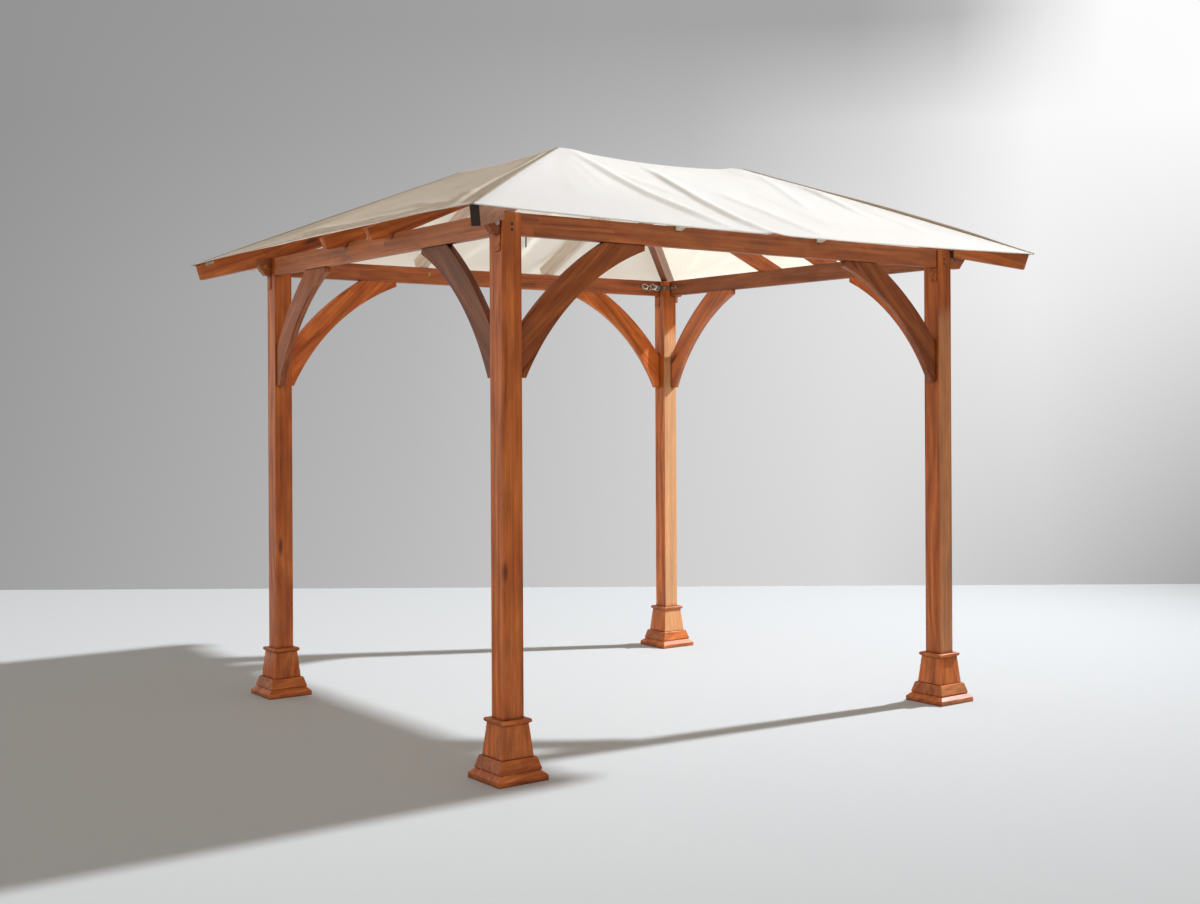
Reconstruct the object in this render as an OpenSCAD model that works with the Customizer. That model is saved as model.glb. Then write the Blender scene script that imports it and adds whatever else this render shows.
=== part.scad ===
// Timber garden pergola: four posts on flared bases, arched braces and a canvas hip canopy.
// Millimetres, +Z up. The origin is on the ground at the middle of the footprint,
// +X runs along the long side and +Y along the short side.

/* [Footprint] */
// Post centre to post centre along the long side
post_span_x = 2860; // [2200:10:4200]
// Post centre to post centre along the short side
post_span_y = 2440; // [2000:10:3600]
// Height of the post tops and of the beam tops above the ground
frame_h = 2520; // [2100:10:3000]

/* [Posts] */
// Width of a square post
post_w = 104; // [90:1:130]
// Wood left outside a long beam where it lies in a post's slot
slot_cheek = 10; // [6:1:25]
// Play on each side of a long beam in its slot
slot_play = 0.5; // [0:0.1:2]

/* [Bases] */
// Width of the foot on the ground
foot_w = 262; // [220:1:340]
// Height of the foot's upright edge
foot_edge_h = 24; // [15:1:50]
// Height of the foot's chamfer above that edge
foot_chamfer_h = 22; // [10:1:40]
// Width of the foot's skirt at its lower edge
skirt_w = 222; // [200:1:250]
// Height of the sloping skirt on the foot
skirt_h = 58; // [30:1:90]
// How far the skirt leans in on each side by its top
skirt_lean = 16; // [8:1:22]
// Depth of the shadow groove under the skirt
skirt_groove = 5; // [2:0.5:8]
// Width of the pedestal where it stands on the foot
pedestal_w = 168; // [150:1:185]
// Width of the pedestal under its collar
pedestal_top_w = 137; // [124:1:150]
// Height of the tapered pedestal
pedestal_h = 146; // [100:1:260]
// Width of the collar
collar_w = 158; // [150:1:200]
// Height of the collar
collar_h = 22; // [14:1:40]

/* [Beams] */
// Depth of a beam
beam_depth = 100; // [80:1:150]
// Thickness of a beam
beam_t = 45; // [36:1:60]
// Length of the horn that a long beam shows past its left post
horn_left = 76; // [60:1:150]
// Length of the horn that a long beam shows past its right post
horn_right = 132; // [60:1:160]
// How far the slanted cut under a horn goes back
horn_cut = 44; // [10:1:55]
// Height of the upright nose above that cut
horn_nose = 48; // [10:1:70]
// Height of the packing block under a long beam
block_h = 75; // [30:1:120]
// How far a packing block shows past each side of its post
block_out = 5; // [2:1:30]

/* [Braces] */
// Thickness of a brace
brace_t = 36; // [24:1:42]
// Reach of a long-side brace along its beam
brace_reach_x = 710; // [500:5:900]
// Reach of a short-side brace along its beam
brace_reach_y = 635; // [450:5:850]
// Drop of a brace down its post
brace_drop = 635; // [450:5:850]
// Length of the seat of a brace against its beam
brace_seat_beam = 238; // [150:1:320]
// Length of the seat of a brace against its post
brace_seat_post = 215; // [150:1:300]
// Height of the blunt nose under the beam
brace_nose = 28; // [12:1:50]
// Width of the blunt toe against the post
brace_toe = 35; // [15:1:60]
// Radius of the hollow edge
brace_inner_r = 1200; // [900:10:2400]
// Radius of the edge that faces the corner
brace_outer_r = 1640; // [1200:10:3000]

/* [Roof] */
// Canvas edge past the post centres on the short sides
eave_out_x = 390; // [300:5:600]
// Canvas edge past the post centres on the long sides
eave_out_y = 360; // [300:5:600]
// Run of the slopes on the short sides, from the canvas edge to the flat crown
roof_run = 1180; // [900:10:1400]
// Rise from the canvas edge to the crown
roof_rise = 508; // [350:1:700]
// Thickness of the canvas
canvas_t = 4; // [2:0.5:8]
// Space between the canvas and the hip rafters
canvas_gap = 1; // [0.5:0.5:4]

/* [Rafters] */
// Thickness of a hip rafter
hip_t = 42; // [32:1:60]
// Depth of a hip rafter, square to its length
hip_depth = 138; // [100:1:180]
// Depth of a hip rafter at the end of its tapered tail
hip_tail_depth = 94; // [50:1:100]
// How far the corners of a tail stay inside the canvas edge
hip_tail_back = 8; // [4:1:60]
// Depth of the seat cut where a hip lies on the middle of its post
hip_seat = 12; // [4:1:22]
// Thickness of a common rafter
rafter_t = 40; // [30:1:50]
// Depth of a common rafter, square to its length
rafter_depth = 90; // [60:1:95]
// Depth of a common rafter at the end of its tapered tail
rafter_tail_depth = 64; // [40:1:70]
// Tail of an end rafter past its beam
end_tail = 145; // [40:5:200]
// Tail of a side rafter past its beam
side_tail = 60; // [40:5:160]
// Each end rafter in from the crown's corner
end_rafter_in = 240; // [100:5:240]
// Each side rafter in from the crown's corner
side_rafter_in = 170; // [100:5:350]
// Thickness of a crown rail
rail_t = 40; // [30:1:60]
// Depth of a crown rail
rail_depth = 100; // [90:1:140]
// Drop of the crown rails below the hips' peaks, which leaves the cloth room to sag
rail_drop = 36; // [20:1:40]

/* [Hidden] */
$fn = 180;

wood = "#a4613a";
dark_wood = "#8a4a2c";
canvas = "#ece8dc";
far = 6000;
over = 1;
sides = [-1, 1];

// Half spans to the post centres, the canvas edge and the crown. The slopes of the long sides
// run as far as they have to for the hip lines to pass over the middle of each post.
post_x = post_span_x / 2;
post_y = post_span_y / 2;
eave_x = post_x + eave_out_x;
eave_y = post_y + eave_out_y;
long_side_run = roof_run * eave_out_y / eave_out_x;
crown_half_x = eave_x - roof_run;
crown_half_y = eave_y - long_side_run;

// Slopes of the short faces, the long faces and the hips
slope_x = roof_rise / roof_run;
slope_y = roof_rise / long_side_run;
hip_run = norm([roof_run, long_side_run]);
hip_slope = roof_rise / hip_run;
hip_turn = atan2(long_side_run, roof_run);
hip_pitch = atan(hip_slope);

// Heights of the base and of the beams' undersides
foot_h = foot_edge_h + foot_chamfer_h + skirt_h;
pedestal_top = foot_h + pedestal_h;
collar_top = pedestal_top + collar_h;
beam_z = frame_h - beam_depth;
post_on_hip = norm([eave_out_x, eave_out_y]);

// Along a hip: the end of its tail from the canvas corner, and the heel of its seat cut from
// the middle of the post, just clear of the post's corner and of the horn
tail_s = hip_tail_back + hip_t / 2 * max(tan(hip_turn), 1 / tan(hip_turn));
heel_play = 2;
post_corner_s = post_w / 2 * (cos(hip_turn) + sin(hip_turn));
horn_crossing_s = (post_w / 2 - slot_cheek + hip_t / 2 * cos(hip_turn)) / sin(hip_turn);
heel_out = max(post_corner_s, horn_crossing_s) + heel_play;

// Heights of the canvas edge and of the crown, from the hips' seat on the posts
eave_z = frame_h - hip_seat + hip_depth / cos(hip_pitch) - hip_slope * post_on_hip;
crown_z = eave_z + roof_rise;

// Faces of the beams: the long beams lie in the slots and the short beams are flush outside.
front_beam_out = post_y + post_w / 2 - slot_cheek;
front_beam_in = front_beam_out - beam_t;
side_beam_out = post_x + post_w / 2;
side_beam_in = side_beam_out - beam_t;

// A moulding run round a square: the profile is a list of [half width, height] going up.
module square_moulding(profile) {
    outline = concat(profile, [for (i = [len(profile) - 1 : -1 : 0]) [-profile[i][0], profile[i][1]]]);
    reach = 4 * profile[0][0];
    intersection() {
        rotate([90, 0, 0]) linear_extrude(reach, center = true) polygon(outline);
        rotate([90, 0, 90]) linear_extrude(reach, center = true) polygon(outline);
    }
}

module at_post(sx, sy) {
    translate([sx * post_x, sy * post_y, 0]) children();
}

// The post's own hole through the trims of its base
module post_hole() {
    translate([0, 0, frame_h / 2]) cube([post_w, post_w, frame_h + 2 * over], center = true);
}

// A solid block with a chamfered edge, and above a groove a skirt that leans in
module foot(sx, sy) {
    groove_z = foot_edge_h + foot_chamfer_h;
    color(dark_wood) at_post(sx, sy) square_moulding([
        [foot_w / 2, 0],
        [foot_w / 2, foot_edge_h],
        [skirt_w / 2 - skirt_groove, groove_z],
        [skirt_w / 2, groove_z + skirt_groove],
        [skirt_w / 2 - skirt_lean, foot_h]
    ]);
}

module pedestal(sx, sy) {
    color(wood) at_post(sx, sy) difference() {
        square_moulding([[pedestal_w / 2, foot_h], [pedestal_top_w / 2, pedestal_top]]);
        post_hole();
    }
}

module collar(sx, sy) {
    flare = collar_h / 3;
    chamfer = flare / 2;
    color(dark_wood) at_post(sx, sy) difference() {
        square_moulding([
            [pedestal_top_w / 2, pedestal_top],
            [collar_w / 2, pedestal_top + flare],
            [collar_w / 2, collar_top - chamfer],
            [collar_w / 2 - chamfer, collar_top]
        ]);
        post_hole();
    }
}

// A post stands on its foot. The slot in its top takes the long beam and the packing block.
module post(sx, sy) {
    slot_w = beam_t + 2 * slot_play;
    slot_floor = beam_z - block_h;
    slot_y = sy * (front_beam_out - beam_t / 2);
    color(wood) difference() {
        at_post(sx, sy) translate([0, 0, (foot_h + frame_h) / 2])
            cube([post_w, post_w, frame_h - foot_h], center = true);
        translate([sx * post_x, slot_y, slot_floor + far / 2])
            cube([post_w + 2 * over, slot_w, far], center = true);
    }
}

// A long beam runs through both slots and shows a horn with a slanted cut past each post.
module long_beam(sy) {
    left_tip = -post_x - post_w / 2 - horn_left;
    right_tip = post_x + post_w / 2 + horn_right;
    nose_z = frame_h - horn_nose;
    color(wood) translate([0, sy * (front_beam_out - beam_t / 2), 0])
        rotate([90, 0, 0]) linear_extrude(beam_t, center = true) polygon([
            [left_tip + horn_cut, beam_z], [right_tip - horn_cut, beam_z],
            [right_tip, nose_z], [right_tip, frame_h], [left_tip, frame_h], [left_tip, nose_z]
        ]);
}

// A short beam butts between two posts, flush with their outer faces.
module short_beam(sx) {
    length = post_span_y - post_w;
    color(wood) translate([sx * (side_beam_out - beam_t / 2), 0, beam_z + beam_depth / 2])
        cube([beam_t, length, beam_depth], center = true);
}

module packing_blocks() {
    color(dark_wood) for (sx = sides, sy = sides)
        translate([sx * post_x, sy * (front_beam_out - beam_t / 2), beam_z - block_h / 2])
            cube([post_w + 2 * block_out, beam_t, block_h], center = true);
}

// Centre of the circle of radius r through p and q that lies to the right of the way from p to q
function arc_centre(p, q, r) =
    let (chord = q - p, half = norm(chord) / 2)
    (p + q) / 2 + sqrt(r * r - half * half) * [chord[1], -chord[0]] / norm(chord);

// Outline of a brace: the post's face is x = 0 and the beam's underside is y = 0.
module brace_outline(reach) {
    toe = [brace_toe, -brace_drop];
    nose = [reach, -brace_nose];
    post_seat_end = [0, brace_seat_post - brace_drop];
    beam_seat_end = [reach - brace_seat_beam, 0];
    intersection() {
        translate([0, -brace_drop]) square([reach, brace_drop]);
        difference() {
            translate(arc_centre(post_seat_end, beam_seat_end, brace_outer_r)) circle(r = brace_outer_r);
            translate(arc_centre(toe, nose, brace_inner_r)) circle(r = brace_inner_r);
        }
    }
}

// A long-side brace, its inner face flush with the inner face of its beam
module long_brace(sx, sy) {
    face_x = post_x - post_w / 2;
    color(dark_wood) scale([sx, sy, 1])
        translate([face_x, front_beam_in + brace_t, beam_z])
        rotate([90, 0, 0]) mirror([1, 0, 0]) linear_extrude(brace_t) brace_outline(brace_reach_x);
}

// A short-side brace, its inner face flush with the inner face of its beam
module short_brace(sx, sy) {
    face_y = post_y - post_w / 2;
    color(dark_wood) scale([sx, sy, 1])
        translate([side_beam_in, face_y, beam_z])
        rotate([90, 0, 90]) mirror([1, 0, 0]) linear_extrude(brace_t) brace_outline(brace_reach_y);
}

// The space above the roof's slopes, which backs the top edges of the hips
module above_slopes() {
    translate([eave_x, 0, eave_z]) rotate([0, atan(slope_x), 0])
        translate([-far, -far / 2, 0]) cube([2 * far, far, far]);
    translate([0, eave_y, eave_z]) rotate([-atan(slope_y), 0, 0])
        translate([-far / 2, -far, 0]) cube([far, 2 * far, far]);
}

// A hip's line in plan: s = 0 at the canvas corner, rising towards the crown's corner
module on_hip_line() {
    translate([eave_x, eave_y, 0]) rotate([0, 0, 180 + hip_turn]) children();
}

// Side view of a hip rafter: a tapered tail, a seat on the post and a full depth inside
module hip_outline() {
    depth_z = hip_depth / cos(hip_pitch);
    tail_z = eave_z + hip_slope * tail_s;
    tail_in = tail_s + hip_tail_depth * sin(hip_pitch);
    tail_under = tail_z - hip_tail_depth * cos(hip_pitch);
    heel_s = post_on_hip - heel_out;
    seat_end = post_on_hip + hip_seat / hip_slope;
    inner_end = hip_run + rail_t * (cos(hip_turn) + sin(hip_turn));
    polygon([
        [tail_s, tail_z],
        [hip_run, crown_z],
        [inner_end, crown_z],
        [inner_end, crown_z - depth_z + hip_slope * (inner_end - hip_run)],
        [seat_end, frame_h],
        [heel_s, frame_h],
        [heel_s, frame_h - hip_seat - hip_slope * heel_out],
        [tail_in, tail_under]
    ]);
}

module hip_rafter(sx, sy) {
    color(dark_wood) scale([sx, sy, 1]) difference() {
        on_hip_line() rotate([90, 0, 0]) linear_extrude(hip_t, center = true) hip_outline();
        above_slopes();
    }
}

// Side view of a common rafter: u = 0 at the crown rail's outer face, growing towards the eave
module rafter_outline(slope, beam_in, tail) {
    pitch = atan(slope);
    depth_z = rafter_depth / cos(pitch);
    under_rail = frame_h + slope * beam_in;
    beam_out = beam_in + beam_t;
    tip_u = beam_out + tail;
    tip_z = under_rail + depth_z - slope * tip_u;
    polygon([
        [0, under_rail],
        [0, under_rail + depth_z],
        [tip_u, tip_z],
        [tip_u - rafter_tail_depth * sin(pitch), tip_z - rafter_tail_depth * cos(pitch)],
        [beam_out, under_rail - slope * beam_out],
        [beam_out, frame_h],
        [beam_in, frame_h]
    ]);
}

module end_rafters() {
    color(dark_wood) for (sx = sides, sy = sides) scale([sx, sy, 1])
        translate([crown_half_x, crown_half_y - end_rafter_in, 0]) rotate([90, 0, 0])
        linear_extrude(rafter_t, center = true)
        rafter_outline(slope_x, side_beam_in - crown_half_x, end_tail);
}

module side_rafters() {
    color(dark_wood) for (sx = sides, sy = sides) scale([sx, sy, 1])
        translate([crown_half_x - side_rafter_in, crown_half_y, 0]) rotate([90, 0, 90])
        linear_extrude(rafter_t, center = true)
        rafter_outline(slope_y, front_beam_in - crown_half_y, side_tail);
}

// What lies past the near side of each hip at the crown, which a rail is mitred against:
// side is 1 for the rails along X and -1 for those along Y.
module past_hips(side) {
    for (sx = sides, sy = sides) scale([sx, sy, 1]) on_hip_line()
        scale([1, side, 1]) translate([0, -hip_t / 2, 0]) cube([hip_run + 3 * rail_t, far, far]);
}

module crown_rail_x(sy) {
    color(wood) difference() {
        translate([0, sy * (crown_half_y - rail_t / 2), crown_z - rail_drop - rail_depth / 2])
            cube([2 * crown_half_x, rail_t, rail_depth], center = true);
        past_hips(1);
    }
}

module crown_rail_y(sx) {
    color(wood) difference() {
        translate([sx * (crown_half_x - rail_t / 2), 0, crown_z - rail_drop - rail_depth / 2])
            cube([rail_t, 2 * crown_half_y, rail_depth], center = true);
        past_hips(-1);
    }
}

// A canvas panel over four corners given in order, as thick as the cloth all over
module canvas_panel(corners) {
    lift = [0, 0, canvas_gap];
    points = concat(
        [for (p = corners) p + lift],
        [for (p = corners) p + lift + [0, 0, canvas_t]]
    );
    color(canvas) polyhedron(points, [
        [0, 1, 2, 3], [7, 6, 5, 4], [0, 4, 5, 1], [1, 5, 6, 2], [2, 6, 7, 3], [3, 7, 4, 0]
    ]);
}

// Corners of the canvas edge and of the crown
function eave(sx, sy) = [sx * eave_x, sy * eave_y, eave_z];
function crown(sx, sy) = [sx * crown_half_x, sy * crown_half_y, crown_z];

module long_canvas(sy) {
    canvas_panel([eave(sy, sy), eave(-sy, sy), crown(-sy, sy), crown(sy, sy)]);
}

module short_canvas(sx) {
    canvas_panel([eave(sx, -sx), eave(sx, sx), crown(sx, sx), crown(sx, -sx)]);
}

module top_canvas() {
    canvas_panel([crown(-1, -1), crown(1, -1), crown(1, 1), crown(-1, 1)]);
}

post(-1, -1);  // post_front_left
post(1, -1);  // post_front_right
post(-1, 1);  // post_back_left
post(1, 1);  // post_back_right
foot(-1, -1);  // foot_front_left
foot(1, -1);  // foot_front_right
foot(-1, 1);  // foot_back_left
foot(1, 1);  // foot_back_right
pedestal(-1, -1);  // pedestal_front_left
pedestal(1, -1);  // pedestal_front_right
pedestal(-1, 1);  // pedestal_back_left
pedestal(1, 1);  // pedestal_back_right
collar(-1, -1);  // collar_front_left
collar(1, -1);  // collar_front_right
collar(-1, 1);  // collar_back_left
collar(1, 1);  // collar_back_right
long_beam(-1);  // beam_front
long_beam(1);  // beam_back
short_beam(-1);  // beam_left
short_beam(1);  // beam_right
packing_blocks();
long_brace(-1, -1);  // brace_front_left
long_brace(1, -1);  // brace_front_right
long_brace(-1, 1);  // brace_back_left
long_brace(1, 1);  // brace_back_right
short_brace(-1, -1);  // brace_left_front
short_brace(-1, 1);  // brace_left_back
short_brace(1, -1);  // brace_right_front
short_brace(1, 1);  // brace_right_back
hip_rafter(-1, -1);  // hip_front_left
hip_rafter(1, -1);  // hip_front_right
hip_rafter(-1, 1);  // hip_back_left
hip_rafter(1, 1);  // hip_back_right
end_rafters();
side_rafters();
crown_rail_x(-1);  // crown_rail_front
crown_rail_x(1);  // crown_rail_back
crown_rail_y(-1);  // crown_rail_left
crown_rail_y(1);  // crown_rail_right
long_canvas(-1);  // canopy_front
long_canvas(1);  // canopy_back
short_canvas(-1);  // canopy_left
short_canvas(1);  // canopy_right
top_canvas();  // canopy_top
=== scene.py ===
import math

import bmesh
import bpy
from mathutils import Matrix, Vector, noise


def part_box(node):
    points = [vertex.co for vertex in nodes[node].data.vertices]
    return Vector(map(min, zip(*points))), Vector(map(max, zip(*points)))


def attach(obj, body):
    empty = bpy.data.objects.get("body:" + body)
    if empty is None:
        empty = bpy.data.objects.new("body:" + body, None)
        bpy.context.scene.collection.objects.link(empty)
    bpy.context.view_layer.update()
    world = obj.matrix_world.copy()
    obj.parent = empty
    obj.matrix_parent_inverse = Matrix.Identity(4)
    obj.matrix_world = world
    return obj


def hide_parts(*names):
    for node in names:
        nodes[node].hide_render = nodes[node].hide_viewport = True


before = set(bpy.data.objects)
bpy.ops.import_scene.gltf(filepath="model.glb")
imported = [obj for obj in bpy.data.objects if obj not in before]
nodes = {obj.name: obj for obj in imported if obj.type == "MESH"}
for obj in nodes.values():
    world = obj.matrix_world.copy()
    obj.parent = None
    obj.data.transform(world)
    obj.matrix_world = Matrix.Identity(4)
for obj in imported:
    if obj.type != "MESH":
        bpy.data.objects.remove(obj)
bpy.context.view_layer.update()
scene = bpy.context.scene
print("frame loaded:", len(nodes), "CAD nodes")

corners = [(sx, sy) for sy in (-1, 1) for sx in (-1, 1)]


def link(obj):
    scene.collection.objects.link(obj)
    return obj


def pieceFrom(bm, name, material, smooth=False):  # a mesh piece in place, its object at the origin
    mesh = bpy.data.meshes.new(name)
    bm.to_mesh(mesh)
    bm.free()
    mesh.materials.append(material)
    if smooth:
        mesh.shade_smooth()
    return link(bpy.data.objects.new(name, mesh))


def faceOutward(bm):
    bmesh.ops.recalc_face_normals(bm, faces=bm.faces)


def newMaterial(name):
    made = bpy.data.materials.new(name)
    made.use_nodes = True
    made.node_tree.nodes.clear()
    return made


def add(tree, kind, sockets=None, **settings):  # one node, with its settings and its inputs' values or links
    made = tree.nodes.new(kind)
    for key, value in settings.items():
        setattr(made, key, value)
    for key, value in (sockets or {}).items():
        if isinstance(value, bpy.types.NodeSocket):
            tree.links.new(value, made.inputs[key])
        else:
            made.inputs[key].default_value = value
    return made


def maths(tree, operation, a, b=0.0):
    return add(tree, "ShaderNodeMath", {0: a, 1: b}, operation=operation).outputs[0]


def plus(tree, a, b):
    return maths(tree, "ADD", a, b)


def times(tree, a, b):
    return maths(tree, "MULTIPLY", a, b)


def vectorMaths(tree, operation, a, b=(0.0, 0.0, 0.0)):
    made = add(tree, "ShaderNodeVectorMath", {0: a, 1: b}, operation=operation)
    return made.outputs["Value" if operation == "DOT_PRODUCT" else "Vector"]


def partOf(tree, vector, which):  # one of a vector's three numbers
    return add(tree, "ShaderNodeSeparateXYZ", {0: vector}).outputs[which]


def objectPlace(tree):
    return add(tree, "ShaderNodeTexCoord").outputs["Object"]


def remap(tree, value, low, high, start=0.0, end=1.0, soft=False):
    return add(tree, "ShaderNodeMapRange", {0: value, 1: low, 2: high, 3: start, 4: end},
               interpolation_type="SMOOTHSTEP" if soft else "LINEAR").outputs[0]


def mottle(tree, place, detail, rough=0.5, stretch=None, scale=1.0):  # soft spots, finer where stretch is large
    if stretch:
        place = vectorMaths(tree, "MULTIPLY", place, stretch)
    return add(tree, "ShaderNodeTexNoise", {
        "Vector": place, "Scale": scale, "Detail": detail, "Roughness": rough}).outputs["Fac"]


def ramp(tree, factor, stops):
    made = add(tree, "ShaderNodeValToRGB", {0: factor})
    while len(made.color_ramp.elements) < len(stops):
        made.color_ramp.elements.new(0.5)
    for element, (place, colour) in zip(made.color_ramp.elements, stops):
        element.position = place
        element.color = (*colour, 1)
    return made.outputs[0]


def mixColour(tree, factor, a, b, blend="MIX"):
    made = add(tree, "ShaderNodeMix", {"Factor": factor}, data_type="RGBA", blend_type=blend)
    for socket, value in ((made.inputs[6], a), (made.inputs[7], b)):
        if isinstance(value, bpy.types.NodeSocket):
            tree.links.new(value, socket)
        else:
            socket.default_value = (*value, 1)
    return made.outputs[2]


def dye(tree, colour, by):  # one colour laid over another, so that both darken it
    return mixColour(tree, 1.0, colour, by, "MULTIPLY")


def grey(tree, value):  # a number as a colour
    return add(tree, "ShaderNodeCombineXYZ", {0: value, 1: value, 2: value}).outputs[0]


timber = {
    "dark": (0.150, 0.026, 0.005),
    "body": (0.440, 0.096, 0.014),
    "light": (0.600, 0.160, 0.030),
    "pale": (0.760, 0.300, 0.090),
    "knot": (0.070, 0.014, 0.006),
    "paintedSunlight": (0.680, 0.385, 0.190),  # painted sunlight on a side that faces the key lamp
    "dusty": (0.330, 0.170, 0.110),  # rubbed, greyer boards
    "bare": (0.950, 0.850, 0.700),   # boards that missed the stain
    "stops": {"dark": 0.14, "body": 0.40, "light": 0.66, "pale": 0.95},  # of the figure
    "sunlitHeights": (2.10, 2.24),   # the roof shades the posts from here up
    "sunlitFacing": (-0.55, -0.85),  # how squarely a side has to face -Y
    "occludedShadeReach": 0.024,            # how far the painted shade reaches from a joint or corner
    "occludedShadeSamples": 6,
    "roughRange": (0.3, 0.7, 0.51, 0.35),  # the streaks' low and high, and how rough each is
    "shine": 0.32, "coat": 0.09, "coatRough": 0.28,
    "relief": 0.35, "reliefDepth": 0.0012, "streakRelief": 0.6, "fibreRelief": 0.5,
}
boards = {
    "jointLength": 0.42,     # of one finger-jointed length
    "jointSlant": 0.35, "jointSlip": 5.0,
    "layer": 0.048,          # of one glued layer, across the grain
    "toneSpread": 0.42,      # between the darkest and lightest lengths
    "paleAbove": (0.93, 0.95), "paleShare": 0.45,
    "mirrorShift": (1.7, 3.1, 0),  # sets the four corners' figures apart
}
figure = {  # detail and roughness, then the stretch along and across the grain
    "drift": (2.0, 0.5, (0.9, 5.0, 5.0)),
    "streaks": (5.0, 0.62, (1.3, 62.0, 62.0)),
    "fibres": (3.0, 0.6, (14.0, 420.0, 420.0)),
    "clouds": (3.0, 0.55, (4.5, 15.0, 15.0)),
}
shading = {  # a pattern's low and high, then the shades that they give
    "clouds": (0.32, 0.62, 0.76, 1.08),
    "rubbed": (0.3, 0.7, 0.80, 1.12),
    "paintedSunlitGrain": (0.3, 0.7, 0.80, 1.08),
    "fibres": (0.3, 0.7, 0.84, 1.12),
    # seams: painted shade from ambient occlusion near joints and corners
    "seams": (0.30, 0.84, 0.16, 1.0),
}
rings = {"drift": 9.0, "slant": 0.6, "perMetre": 26.0, "jump": 14.0, "mostJump": 7.0,
         "share": 0.26, "streakShare": 0.88, "less": 0.06}
knots = {"stretch": (1.5, 5.5, 5.5), "radius": (0.03, 0.11), "share": 0.8}
endGrainFacing = (0.72, 0.93)


def layAlongGrain(tree, grain, mirrored):  # the place with X along the grain, and the way the wood faces
    place = objectPlace(tree)
    facing = add(tree, "ShaderNodeNewGeometry").outputs["True Normal"]
    if mirrored:  # slanted pieces in four corners share one direction of grain
        signs = vectorMaths(tree, "SIGN", place)
        corner = vectorMaths(tree, "DOT_PRODUCT", signs, boards["mirrorShift"])
        place = vectorMaths(tree, "ABSOLUTE", place)
        facing = vectorMaths(tree, "MULTIPLY", facing, signs)
    turn = Vector(grain).to_track_quat("X", "Z").inverted().to_euler()
    place = add(tree, "ShaderNodeMapping", {"Vector": place, "Rotation": turn}).outputs[0]
    if mirrored:
        place = vectorMaths(tree, "ADD", place, corner)
    return place, facing


def boardTone(tree, along, across, upward):  # finger-jointed lengths in glued layers, each with its own tone
    row = maths(tree, "FLOOR", maths(tree, "DIVIDE", plus(tree, across, upward), boards["layer"]))
    slip = add(tree, "ShaderNodeTexWhiteNoise", {"W": row}, noise_dimensions="1D").outputs["Value"]
    slanted = plus(tree, along, times(tree, upward, boards["jointSlant"]))
    length = maths(tree, "DIVIDE", slanted, boards["jointLength"])
    length = plus(tree, length, times(tree, slip, boards["jointSlip"]))
    block = add(tree, "ShaderNodeCombineXYZ", {0: maths(tree, "FLOOR", length), 1: row}).outputs[0]
    return add(tree, "ShaderNodeTexWhiteNoise", {"Vector": block}, noise_dimensions="3D").outputs["Value"]


def woodFigure(tree, across, upward, drift, streaks, tone, joints):
    slanted = plus(tree, across, times(tree, upward, rings["slant"]))
    ringPlace = plus(tree, times(tree, drift, rings["drift"]), times(tree, slanted, rings["perMetre"]))
    jump = min(rings["mostJump"], rings["jump"] * joints)  # the rings start anew in each length
    ringPlace = plus(tree, ringPlace, times(tree, tone, jump))
    growth = maths(tree, "PINGPONG", ringPlace, 1.0)
    both = plus(tree, times(tree, growth, rings["share"]), times(tree, streaks, rings["streakShare"]))
    return maths(tree, "SUBTRACT", both, rings["less"])


def knotSpots(tree, place):  # sparse spots, longer along the grain
    stretched = vectorMaths(tree, "MULTIPLY", place, knots["stretch"])
    cells = add(tree, "ShaderNodeTexVoronoi", {"Vector": stretched, "Scale": 1.0, "Randomness": 1.0})
    return remap(tree, cells.outputs["Distance"], *knots["radius"], 1.0, 0.0, soft=True)


def paintSunlitSide(tree, colour, facing, streaks, share):  # painted sunlight: the side that faces -Y is paler below the roof's shadow line
    front = remap(tree, partOf(tree, facing, 1), *timber["sunlitFacing"], 0.0, share, soft=True)
    below = remap(tree, partOf(tree, objectPlace(tree), 2), *timber["sunlitHeights"], 1.0, 0.0, soft=True)
    paintedSunlitGrain = dye(tree, grey(tree, remap(tree, streaks, *shading["paintedSunlitGrain"])), timber["paintedSunlight"])
    return mixColour(tree, times(tree, front, below), colour, paintedSunlitGrain)


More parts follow.
